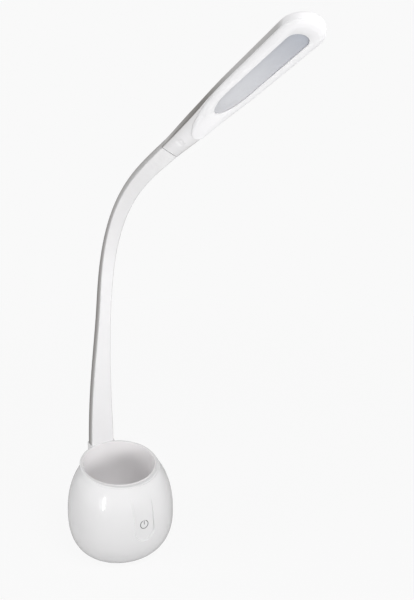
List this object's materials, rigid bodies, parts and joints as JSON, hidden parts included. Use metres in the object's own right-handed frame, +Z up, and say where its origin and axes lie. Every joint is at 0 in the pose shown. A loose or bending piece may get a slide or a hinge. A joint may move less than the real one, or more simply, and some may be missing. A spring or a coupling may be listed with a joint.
{
  "type": "desk lamp",
  "caption": "LED desk lamp: slim bar head on a flat bendable neck, rooted behind an open pen cup in a weighted egg-shaped base with a touch panel and a charging socket.",
  "frame": {"origin": "centre of the foot pad, on the table", "axes": "+Z up, the touch panel and the head face -Y, the neck rises behind the cup at +Y"},
  "size_m": [0.112, 0.3488, 0.5068],
  "materials": {
    "gloss_white": "gloss white",
    "cup_white": "gloss white",
    "icon_grey": "satin grey",
    "dark_rubber": "matte black",
    "iron": "rough grey",
    "zinc_screw": "zinc",
    "cell_sleeve": "satin green wrap",
    "black_plastic": "satin black",
    "board_green": "solder mask",
    "spring_bronze": "bare",
    "socket_steel": "bright",
    "soft_white": "matte white silicone",
    "hose_steel": "dull",
    "lead_black": "insulation",
    "lens_frost": "frosted",
    "led_yellow": "phosphor",
    "board_white": "white solder mask"
  },
  "bodies": {
    "base": {"base_shell": "gloss_white", "touch_icon": "icon_grey", "cup_liner": "cup_white", "base_plate": "gloss_white", "plate_screws": "zinc_screw", "foot_pad": "dark_rubber", "ballast_weight": "iron", "ballast_screws": "zinc_screw", "battery_cell": "cell_sleeve", "battery_holder": "black_plastic", "touch_board": "board_green", "touch_board_screws": "zinc_screw", "touch_contact": "spring_bronze", "driver_board": "board_green", "driver_board_screws": "zinc_screw", "power_socket": "socket_steel", "neck_anchor": "black_plastic", "anchor_screws": "zinc_screw", "base_leads": "lead_black", "hose_root": "hose_steel", "sleeve_boot": "soft_white"},
    "link_1": {"hose_link_1": "hose_steel", "neck_sleeve_1": "soft_white", "neck_lead_1": "lead_black"},
    "link_2": {"hose_link_2": "hose_steel", "neck_sleeve_2": "soft_white", "neck_lead_2": "lead_black"},
    "link_3": {"hose_link_3": "hose_steel", "neck_sleeve_3": "soft_white", "neck_lead_3": "lead_black"},
    "link_4": {"hose_link_4": "hose_steel", "neck_sleeve_4": "soft_white", "neck_lead_4": "lead_black"},
    "link_5": {"hose_link_5": "hose_steel", "neck_sleeve_5": "soft_white", "neck_lead_5": "lead_black"},
    "link_6": {"hose_link_6": "hose_steel", "neck_sleeve_6": "soft_white", "neck_lead_6": "lead_black", "sleeve_top": "soft_white"},
    "head": {"head_cover": "gloss_white", "head_bezel": "gloss_white", "lens": "lens_frost", "led_board": "board_white", "led_chips": "led_yellow", "led_screws": "zinc_screw", "reflector": "gloss_white", "stem_bush": "black_plastic", "stem_screw": "zinc_screw", "head_leads": "lead_black"}
  },
  "joints": [
    {"name": "neck_bend_1", "type": "hinge", "parent": "base", "child": "link_1", "pos_m": [0, 0.04165, 0.13692], "axis": [1, 0, 0], "range_deg": [-27.9, 20.1], "deforming": ["neck_sleeve_1", "neck_lead_1"]},
    {"name": "neck_bend_2", "type": "hinge", "parent": "link_1", "child": "link_2", "pos_m": [0, 0.03424, 0.19644], "axis": [1, 0, 0], "range_deg": [-28.2, 19.8], "deforming": ["neck_sleeve_2", "neck_lead_2"]},
    {"name": "neck_bend_3", "type": "hinge", "parent": "link_2", "child": "link_3", "pos_m": [0, 0.02273, 0.25532], "axis": [1, 0, 0], "range_deg": [-27.3, 20.7], "deforming": ["neck_sleeve_3", "neck_lead_3"]},
    {"name": "neck_bend_4", "type": "hinge", "parent": "link_3", "child": "link_4", "pos_m": [0, 0.00692, 0.31311], "axis": [1, 0, 0], "range_deg": [-40.9, 7.1], "deforming": ["neck_sleeve_4", "neck_lead_4"]},
    {"name": "neck_bend_5", "type": "hinge", "parent": "link_4", "child": "link_5", "pos_m": [0, -0.02442, 0.36389], "axis": [1, 0, 0], "range_deg": [-45, 3], "deforming": ["neck_sleeve_5", "neck_lead_5"]},
    {"name": "neck_bend_6", "type": "hinge", "parent": "link_5", "child": "link_6", "pos_m": [0, -0.07158, 0.40056], "axis": [1, 0, 0], "range_deg": [-36.4, 11.6], "deforming": ["neck_sleeve_6", "neck_lead_6"]},
    {"name": "head_twist", "type": "hinge", "parent": "link_6", "child": "head", "pos_m": [0, -0.12284, 0.42546], "axis": [0, -0.9081, 0.4187], "range_deg": [-60, 60], "deforming": ["sleeve_top"]}
  ]
}
